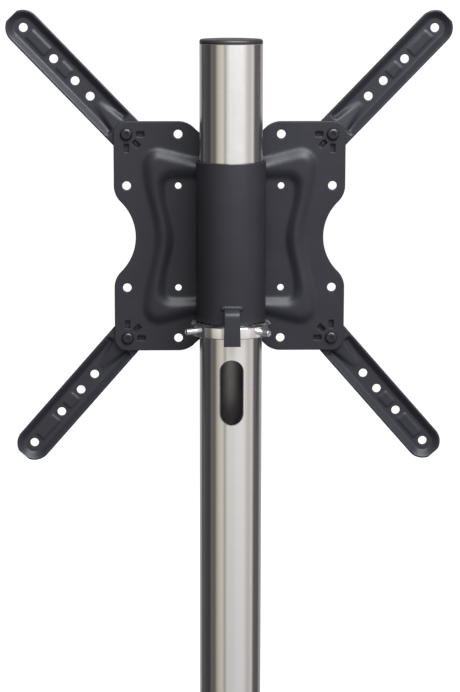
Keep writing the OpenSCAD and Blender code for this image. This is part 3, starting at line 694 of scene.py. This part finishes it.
# The pole, its cap and what turns about its axis
def make_pole():
    """The tube, unrolled as a sheet with two cable slots, and rolled up again."""
    bottom, top = pole_lo.z, pole_hi.z
    slot_w, slot_h, slot_middles = 22.5, 63, (130, mount_z - 141)
    edge_reach, edge_drop = 0.45, 0.4
    slot_end = (slot_h - slot_w) / 2
    slot = arc(0, slot_end, slot_w / 2, 0, 180, 20) + arc(0, -slot_end, slot_w / 2, 180, 360, 20)
    # along the wall's arc, a straight slot is a little wider
    holes = [[(pole_r * math.asin(x / pole_r), middle + z) for x, z in slot] for middle in slot_middles]
    columns, half_turn = 144, math.pi * pole_r
    us = list(np.linspace(-half_turn, half_turn, columns + 1))
    outline = [(u, bottom) for u in us] + [(u, top) for u in reversed(us)]
    # rows of points: one at each rounded end, a few along the tube and more round the slots
    plain_end, slot_zone = 12, 38
    heights = [bottom + edge_reach, top - edge_reach]
    heights += list(np.linspace(bottom + plain_end, top - plain_end, 24))
    for middle in slot_middles:
        heights += list(np.linspace(middle - slot_zone, middle + slot_zone, 20))
    grid = clear_of_holes(np.array([(u, z) for z in sorted(heights) for u in us]), holes, 2 * edge_reach)
    flat, tris, walls = sheet_plan(outline, holes, (), (0.15, edge_reach), grid)
    # the unrolled sheet's two long sides meet in the tube and have no wall
    walls = [(a, b) for a, b in walls if abs(flat[a][1] - flat[b][1]) < slot_h]

    edge = np.minimum(flat[:, 1] - bottom, top - flat[:, 1])
    for hole in holes:
        edge = np.minimum(edge, distance(flat, hole))
    sink = rounding(edge, edge_reach, edge_drop)

    def rolled(u, z, r):
        a = u / pole_r - math.pi / 2
        return r * math.cos(a), r * math.sin(a), z

    verts, faces = sheet_solid((flat, tris, walls), pole_r - sink, pole_r - pole_wall + sink, rolled)
    # exact normals on the round wall; a rounded edge keeps its own, which 0 stands for
    hair = 0.01
    outward = np.array([rolled(u, 0, 1) for u in flat[:, 0]])
    outward[edge < edge_reach - hair] = 0
    # the mill finish of the inside, and the dark cut edges of the slots and ends with their rounding, which
    # is partly the cut metal's own dullness and partly painted shade that keeps a highlight off the rounded
    # edges
    count = len(tris)
    cut = np.flatnonzero((edge[tris] < edge_reach + hair).all(1))
    others = [(mill_steel, range(count, 2 * count)), (cut_steel_and_painted_shade, [*cut, *range(2 * count, len(faces))])]
    new_piece("pole_tube", (verts, faces), "stand", "pole", others=others, normals=[*outward, *-outward])


def turned(profile, segments=160):
    """A closed (radius, height) profile turned round the pole's axis."""
    verts, faces = [], []
    n = len(profile)
    for i in range(segments):
        a = 2 * math.pi * i / segments
        verts += [(r * math.cos(a), r * math.sin(a), z) for r, z in profile]
        j = (i + 1) % segments
        for k in range(n):
            m = (k + 1) % n
            faces.append((i * n + k, j * n + k, j * n + m, i * n + m))
    return verts, faces


def make_sleeve():
    """The plain tube that turns on the pole."""
    lo, hi, r = sleeve_lo.z, sleeve_hi.z, sleeve_hi.x
    wall, edge_r = 2, 0.7
    section = soften([(r - wall, lo), (r, lo), (r, hi), (r - wall, hi)], edge_r)
    new_piece("sleeve_tube", turned(section), "mount", "sleeve")


def make_cover():
    """The ring round the bottom of the pole: a thin lip round a domed hub."""
    lo, hi = box_mm("base_cover")
    lip, land, edge_r = 2, 5, 0.4
    dome_r = hi.z - lo.z - lip
    section = [(bore_r, lo.z), (hi.x, lo.z), (hi.x, lo.z + lip)]
    section += arc(bore_r + land, lo.z + lip, dome_r, 0, 90, 13)[1:]
    section.append((bore_r, hi.z))
    new_piece("cover_ring", turned(soften(section, edge_r)), "stand", "base_cover")


def make_washer():
    """The ring that the sleeve slides on, above the collar."""
    lo, hi = box_mm("swivel_washer")
    edge_r = 0.25
    section = soften([(bore_r, lo.z), (hi.x, lo.z), (hi.x, hi.z), (bore_r, hi.z)], edge_r)
    new_piece("washer_ring", turned(section), "mount", "swivel_washer")


def make_cap():
    """The moulded cap: a rounded rim under a slightly domed top, with its skirt in the pole."""
    top = pole_hi.z
    rim_h, rim_r, crown, bevel = 4, 2, 0.8, 0.25
    skirt_r, skirt_h, skirt_t = pole_r - pole_wall - 0.05, 18, 2
    flat_r = pole_r - rim_r
    dome_r = (flat_r ** 2 + crown ** 2) / (2 * crown)
    steps = 20
    dome = [(x, top + rim_h + crown - dome_r + math.sqrt(dome_r ** 2 - x ** 2))
            for x in (flat_r * i / steps for i in range(steps))]
    section = [(0, top + rim_h / 2)] + dome + arc(flat_r, top + rim_h - rim_r, rim_r, 90, 0, 8)
    section += [(pole_r, top + bevel), (pole_r - bevel, top), (skirt_r, top), (skirt_r, top - skirt_h),
                (skirt_r - skirt_t, top - skirt_h), (skirt_r - skirt_t, top + rim_h / 2)]
    new_piece("cap_moulding", turned(section), "stand", "pole_cap", sharp=50)


# Solids through rings, for screws, nuts and bores
whole = math.inf


def stacked(rings, place, steps=48):
    """A closed solid through rings along an axis; place puts (x, y, along) into the frame.

    A ring is (radius, along), or (half the width across flats, along, corner radius) for a
    hexagon whose corners are cut back to that radius, or not if it is whole.
    """
    verts, faces = [], []
    for size, along, *corner_r in rings:
        for i in range(steps):
            a = 2 * math.pi * i / steps
            r = size
            if corner_r:
                off_flat = (a + math.pi / 6) % (math.pi / 3) - math.pi / 6
                r = min(size / math.cos(off_flat), *corner_r)
            verts.append(place(r * math.cos(a), r * math.sin(a), along))
    for k in range(len(rings) - 1):
        for i in range(steps):
            j = (i + 1) % steps
            faces.append((k * steps + i, k * steps + j, (k + 1) * steps + j, (k + 1) * steps + i))
    faces.append(tuple(range(steps)))
    faces.append(tuple(len(verts) - 1 - i for i in range(steps)))
    return verts, faces


def make_base():
    """The floor plate with its rounded rim, its screws' sinks and the holes of its feet."""
    lo, hi = box_mm("base_plate")
    inside_cad, rim_r, bevel = 0.08, 3, 0.5
    r = hi.x - inside_cad
    section = [(0, hi.z), (0, lo.z), (r - bevel, lo.z), (r, lo.z + bevel)]
    section += arc(r - rim_r, hi.z - rim_r, rim_r, 0, 90, 8)

    def upright(radius, turn, rings):
        """A bore on a circle round the axis, with heights above the floor plate's lower face."""
        [(x, y)] = rotated([(radius, 0)], turn)
        return stacked(rings, lambda u, v, up: (x + u, y + v, lo.z + up), steps=32)

    screw_circle, foot_circle, past = 17, 220, 1
    head_r, head_h, screw_r = 7.75, 3.5, 4.25
    foot_plug_r, foot_plug_l = 4.05, 5
    sink = [(head_r, -past), (head_r, 0), (screw_r, head_h), (screw_r, hi.z - lo.z + past)]
    cutters = [upright(screw_circle, turn, sink) for turn in range(0, 360, 120)]
    foot_hole = [(foot_plug_r, -past), (foot_plug_r, foot_plug_l)]
    cutters += [upright(foot_circle, turn, foot_hole) for turn in range(0, 360, 60)]
    new_piece("floor_disc", cut_away(turned(section, segments=288), cutters), "stand", "base_plate", sharp=30)


# The collar and its clamp screws
collar_chamfer = 2.3
clamp_turns = {"left": -60, "right": 45}


def clamp_place(turn):
    """Puts (x, y, along) of a clamp screw into the frame, along running out from its tip."""
    to_right, to_rear = math.sin(math.radians(turn)), math.cos(math.radians(turn))
    lo, hi = box_mm("collar")
    # the screws stand in the middle of the collar's side below its chamfer
    side_middle = (lo.z + hi.z - collar_chamfer) / 2
    tip_gap = 0.1

    def place(x, y, along):
        out = pole_r + tip_gap + along
        return to_right * out + to_rear * x, to_right * x - to_rear * out, side_middle + y

    return place


def make_collar():
    """The chamfered ring with a bore for each of its two clamp screws."""
    lo, hi = box_mm("collar")
    r, low_chamfer, edge_r = hi.x, 0.6, 0.3
    section = [(bore_r, lo.z), (r - low_chamfer, lo.z), (r, lo.z + low_chamfer), (r, hi.z - collar_chamfer),
               (r - collar_chamfer, hi.z), (bore_r, hi.z)]
    ring = turned(soften(section, edge_r), segments=192)
    clamp_bore_r, inner_end, outer_end = 3.05, -5, 15
    bore = [(clamp_bore_r, inner_end), (clamp_bore_r, outer_end)]
    cutters = [stacked(bore, clamp_place(turn)) for turn in clamp_turns.values()]
    new_piece("collar_ring", cut_away(ring, cutters), "collar", "collar", sharp=33)


def make_clamp_screws():
    """Set screws with a cone at the tip and a hexagon socket in the rounded outer end."""
    r, length, tip_r, edge_r = 3, 20, 1.5, 0.35
    socket, socket_bevel, bevel_depth, socket_depth = 1.5, 0.12, 0.2, 3
    rings = [(tip_r, 0), (r, r - tip_r)] + arc(r - edge_r, length - edge_r, edge_r, 0, 90, 6)
    rings += [(socket + socket_bevel, length, whole), (socket, length - bevel_depth, whole),
              (socket, length - socket_depth, whole)]
    for side, turn in clamp_turns.items():
        new_piece("clamp_pin_" + side, stacked(rings, clamp_place(turn)), "clamp_" + side,
                  "clamp_screw_" + side, sharp=33, material=satin_chrome)


# The pivots, whose rings start at the plate's face towards the rear and run to the screen
screw_end, nut_h = 10.9, 3.2


def at_pivots(rings):
    """Copies of a solid through rings, one at each arm's pivot."""
    verts, faces = [], []
    for sx, sz in corners:
        x, z = sx * hole_far, mount_z + sz * hole_far
        copy, copy_faces = stacked(rings, lambda u, v, along: (x + u, plate_rear + along, z + v))
        faces += [tuple(k + len(verts) for k in face) for face in copy_faces]
        verts += copy
    return verts, faces


def make_pivot_screws():
    """Button heads with hexagon sockets, and their shanks."""
    shank_r, head_r, head_h, brim_h, top_r = 3, 6, 3.4, 0.7, 3.3
    rings = [(shank_r, screw_end), (shank_r, 0), (head_r, 0), (head_r, -brim_h)]
    steps = 8
    for i in range(1, steps + 1):
        a = math.radians(90 * i / steps)
        rings.append((top_r + (head_r - top_r) * math.cos(a), -brim_h - (head_h - brim_h) * math.sin(a)))
    socket, socket_bevel, bevel_depth, socket_depth = 2, 0.15, 0.2, 2
    rings += [(socket + socket_bevel, -head_h, whole), (socket, bevel_depth - head_h, whole),
              (socket, socket_depth - head_h, whole)]
    new_piece("pivot_heads", at_pivots(rings), "mount", "pivot_screws", sharp=33)


def make_pivot_nuts():
    """Hexagon nuts whose corners are turned back at both ends, on the screen's side."""
    half_flats, end_r, bevel = 5, 5.3, 0.35
    mouth_r, thread_r, mouth_bevel = 3.4, 3.02, 0.4
    low, high = screw_end - nut_h, screw_end
    rings = [(half_flats, low, end_r), (half_flats, low + bevel, whole),
             (half_flats, high - bevel, whole), (half_flats, high, end_r),
             (mouth_r, high), (thread_r, high - mouth_bevel)]
    new_piece("hex_nuts", at_pivots(rings), "mount", "pivot_nuts", sharp=25)


# The stop tab
tab_up = 15
tab_shelf_z = sleeve_lo.z + tab_up
tab_half_top, tab_half_low = 7.25, 8


def tab_strap():
    """The bent strap, through copies of its section from side to side."""
    foot = box_mm("stop_tab")[0].z
    reach, root_depth = 14, 1.2
    face, root = sleeve_r + reach, sleeve_r - root_depth
    sheet, bend_r, edge_r = 3, 6.5, 0.6
    bend_x, bend_z = face - bend_r, tab_shelf_z - bend_r
    section = [(root, tab_shelf_z)] + arc(bend_x, bend_z, bend_r, 90, 0, 10)
    section += [(face, foot), (face - sheet, foot)] + arc(bend_x, bend_z, bend_r - sheet, 0, 90, 10)
    section.append((root, tab_shelf_z - sheet))
    # each side's edges are rounded by sections that shrink towards it
    edge = [(edge_r * (1 - math.sin(a)), edge_r * (1 - math.cos(a)))
            for a in (math.radians(90 * i / 4) for i in range(5))]
    verts = []
    for side, steps in ((-1, edge), (1, reversed(edge))):
        for inset, back in steps:
            for d, z in offset_loop(section, -inset):
                half = tab_half_top + (tab_half_low - tab_half_top) * (tab_shelf_z - z) / (tab_shelf_z - foot)
                verts.append((side * (half - back), -d, z))
    n = len(section)
    faces = [(k + i, k + (i + 1) % n, k + n + (i + 1) % n, k + n + i)
             for k in range(0, len(verts) - n, n) for i in range(n)]
    return verts, faces + [tuple(range(n)), tuple(len(verts) - 1 - i for i in range(n))]


def tab_bead():
    """The weld bead: overlapping ripples round the sleeve above the tab, thinner at its ends."""
    fat, flatness, past_tab, sunk, up, sag = 2.9, 0.8, 4, 0.3, 0.5, 1.6
    thin_end, ripple = 0.75, 0.05
    reach = math.asin((tab_half_top + past_tab) / sleeve_r)
    core = sleeve_r - sunk
    steps, around, ripple_steps = 72, 16, 4
    verts = []
    for i in range(steps + 1):
        u = 2 * i / steps - 1
        wave = 1 - ripple + ripple * math.cos(2 * math.pi * i / ripple_steps)
        r = fat * (1 - thin_end * abs(u) ** 8) * wave
        for out, z in circle(0, tab_shelf_z + up - sag * abs(u) ** 6, r, around):
            d = core + out * flatness
            verts.append((d * math.sin(reach * u), -d * math.cos(reach * u), z))
    faces = [(k + i, k + (i + 1) % around, k + around + (i + 1) % around, k + around + i)
             for k in range(0, steps * around, around) for i in range(around)]
    return verts, faces + [tuple(range(around)), tuple(len(verts) - 1 - i for i in range(around))]


def make_tab():
    """The strap and its bead as one piece."""
    verts, faces = tab_strap()
    bead_verts, bead_faces = tab_bead()
    faces += [tuple(k + len(verts) for k in face) for face in bead_faces]
    new_piece("tab_strap", (verts + bead_verts, faces), "mount", "stop_tab", sharp=50, material=arm_coat)


make_plate()
make_arms()
make_pole()
make_sleeve()
make_cover()
make_washer()
make_cap()
make_collar()
make_clamp_screws()
make_base()
make_pivot_screws()
make_pivot_nuts()
make_tab()


# The studio, in metres
def light_world():
    """Soft studio light with dark flags round the stand, and plain white behind it."""
    world = bpy.data.worlds.new("studio")
    bpy.context.scene.world = world
    world.use_nodes = True
    tree = world.node_tree
    coords = add(tree, "TexCoord")
    split = add(tree, "SeparateXYZ")
    tree.links.new(coords.outputs["Generated"], split.inputs[0])
    x, y, z = split.outputs
    turn = compute(tree, "ARCTAN2", x, compute(tree, "MULTIPLY", y, -1.0))
    turn_share = compute(tree, "MULTIPLY_ADD", turn, 1 / (2 * math.pi), 0.5)
    # degrees from the rear (towards +X) to the brightness of the studio's walls
    walls = [
        (-180, (0.60, 0.58, 0.57)), (-143, (0.42, 0.41, 0.40)), (-134, (0.09, 0.09, 0.095)),
        (-122, (0.08, 0.08, 0.085)), (-119, (0.24, 0.24, 0.25)), (-116, (0.09, 0.09, 0.098)),
        (-100, (0.08, 0.078, 0.084)), (-84, (0.055, 0.055, 0.06)), (-78, (0.22, 0.21, 0.21)),
        (-70, (0.17, 0.16, 0.15)), (-61, (0.17, 0.16, 0.14)), (-52, (0.62, 0.59, 0.53)),
        (-36, (0.86, 0.82, 0.73)), (-30, (0.84, 0.80, 0.72)), (-25, (0.48, 0.46, 0.43)),
        (-21, (0.48, 0.46, 0.43)), (-16, (0.86, 0.85, 0.84)), (5, (0.79, 0.785, 0.79)),
        (20, (0.87, 0.86, 0.865)), (50, (0.95, 0.935, 0.94)), (61, (0.76, 0.72, 0.71)),
        (73, (0.68, 0.65, 0.64)), (79, (0.88, 0.84, 0.84)), (87, (0.84, 0.80, 0.80)),
        (93, (0.16, 0.15, 0.155)), (127, (0.12, 0.115, 0.12)), (134, (0.42, 0.41, 0.40)),
        (180, (0.60, 0.58, 0.57)),
    ]
    bands = ramp(tree, turn_share, [((a + 180) / 360, colour) for a, colour in walls])
    # from straight down (0) over level (0.5) to straight up (1)
    heights = [(0.0, 0.4), (0.22, 0.45), (0.31, 0.72), (0.37, 0.80), (0.44, 0.97), (0.5, 0.88), (0.56, 0.8),
               (0.7, 0.55), (0.93, 0.5), (0.97, 0.4), (1.0, 0.4)]
    fade = ramp(tree, compute(tree, "MULTIPLY_ADD", z, 0.5, 0.5), heights)
    room = tree.nodes["Background"]
    tree.links.new(compute(tree, "MULTIPLY", bands, fade, kind="VectorMath"), room.inputs["Color"])
    plain = add(tree, "Background", Color=(1, 1, 1, 1), Strength=1)
    seen = add(tree, "LightPath")
    mix = add(tree, "MixShader")
    tree.links.new(seen.outputs["Is Camera Ray"], mix.inputs[0])
    tree.links.new(room.outputs[0], mix.inputs[1])
    tree.links.new(plain.outputs[0], mix.inputs[2])
    tree.links.new(mix.outputs[0], tree.nodes["World Output"].inputs["Surface"])


def softbox(name, place, size, power):
    """A rectangular area light that looks at the mount and isn't seen itself."""
    data = bpy.data.lights.new(name, "AREA")
    data.shape = "RECTANGLE"
    data.size, data.size_y = size
    data.energy = power
    lamp = in_scene(name, data)
    lamp.location = place
    lamp.rotation_mode = "QUATERNION"
    look = Vector((0, 0, mount_z * mm)) - Vector(place)
    lamp.rotation_quaternion = look.to_track_quat("-Z", "Y")
    lamp.visible_camera = False
    return lamp


def light_stand():
    """A cool key light over the rear, and a fill light that chrome and steel don't mirror."""
    key = softbox("key", place=(0.6, -1.6, 3.05), size=(2.4, 1.5), power=175)
    key.data.color = (0.93, 0.95, 1.0)
    fill = softbox("fill", place=(-1.1, 1.9, 3.0), size=(1.6, 1.2), power=110)
    fill.visible_glossy = False


def floor():
    """A wide pale floor, whose own glow lets it run into the white behind it."""
    mesh = bpy.data.meshes.new("floor")
    bm = bmesh.new()
    bmesh.ops.create_circle(bm, cap_ends=True, radius=60, segments=128)
    bm.to_mesh(mesh)
    bm.free()
    obj = in_scene("floor", mesh)
    mat, tree, shader = principled("floor", Base_Color=(0.42, 0.42, 0.42, 1), Roughness=0.9,
                                   Specular_IOR_Level=0.1, Emission_Color=(1, 1, 1, 1))
    away = compute(tree, "LENGTH", object_coords(tree), kind="VectorMath", output="Value")
    glow = add(tree, "MapRange", interpolation_type="SMOOTHSTEP", From_Min=0.2, From_Max=2.0,
               To_Min=0.03, To_Max=0.95)
    tree.links.new(away, glow.inputs["Value"])
    tree.links.new(glow.outputs["Result"], shader.inputs["Emission Strength"])
    mesh.materials.append(mat)
    obj.visible_glossy = False
    obj.visible_diffuse = False


def camera():
    """The photograph's camera, from a fit to the mount's screw holes."""
    data = bpy.data.cameras.new("camera")
    cam = in_scene("camera", data)
    focal_px, long_side_px = 2202.1, 692
    data.sensor_width = 36
    data.lens = focal_px / long_side_px * data.sensor_width
    data.clip_end = 200
    yaw, pitch, roll = (math.radians(a) for a in (1.722, -10.377, 0.087))
    forward = Vector((math.sin(yaw) * math.cos(pitch), math.cos(yaw) * math.cos(pitch), math.sin(pitch)))
    right = forward.cross(Vector((0, 0, 1))).normalized()
    up = right.cross(forward)
    right, up = right * math.cos(roll) + up * math.sin(roll), up * math.cos(roll) - right * math.sin(roll)
    turn = Matrix((right, up, -forward)).transposed()
    from_mount = Vector((-63.5, -2088.5, 282))
    place = (Vector((0, 0, mount_z)) + from_mount) * mm
    cam.matrix_world = Matrix.Translation(place) @ turn.to_4x4()
    bpy.context.scene.camera = cam


light_world()
light_stand()
floor()
camera()
bpy.context.scene.view_settings.view_transform = "Standard"
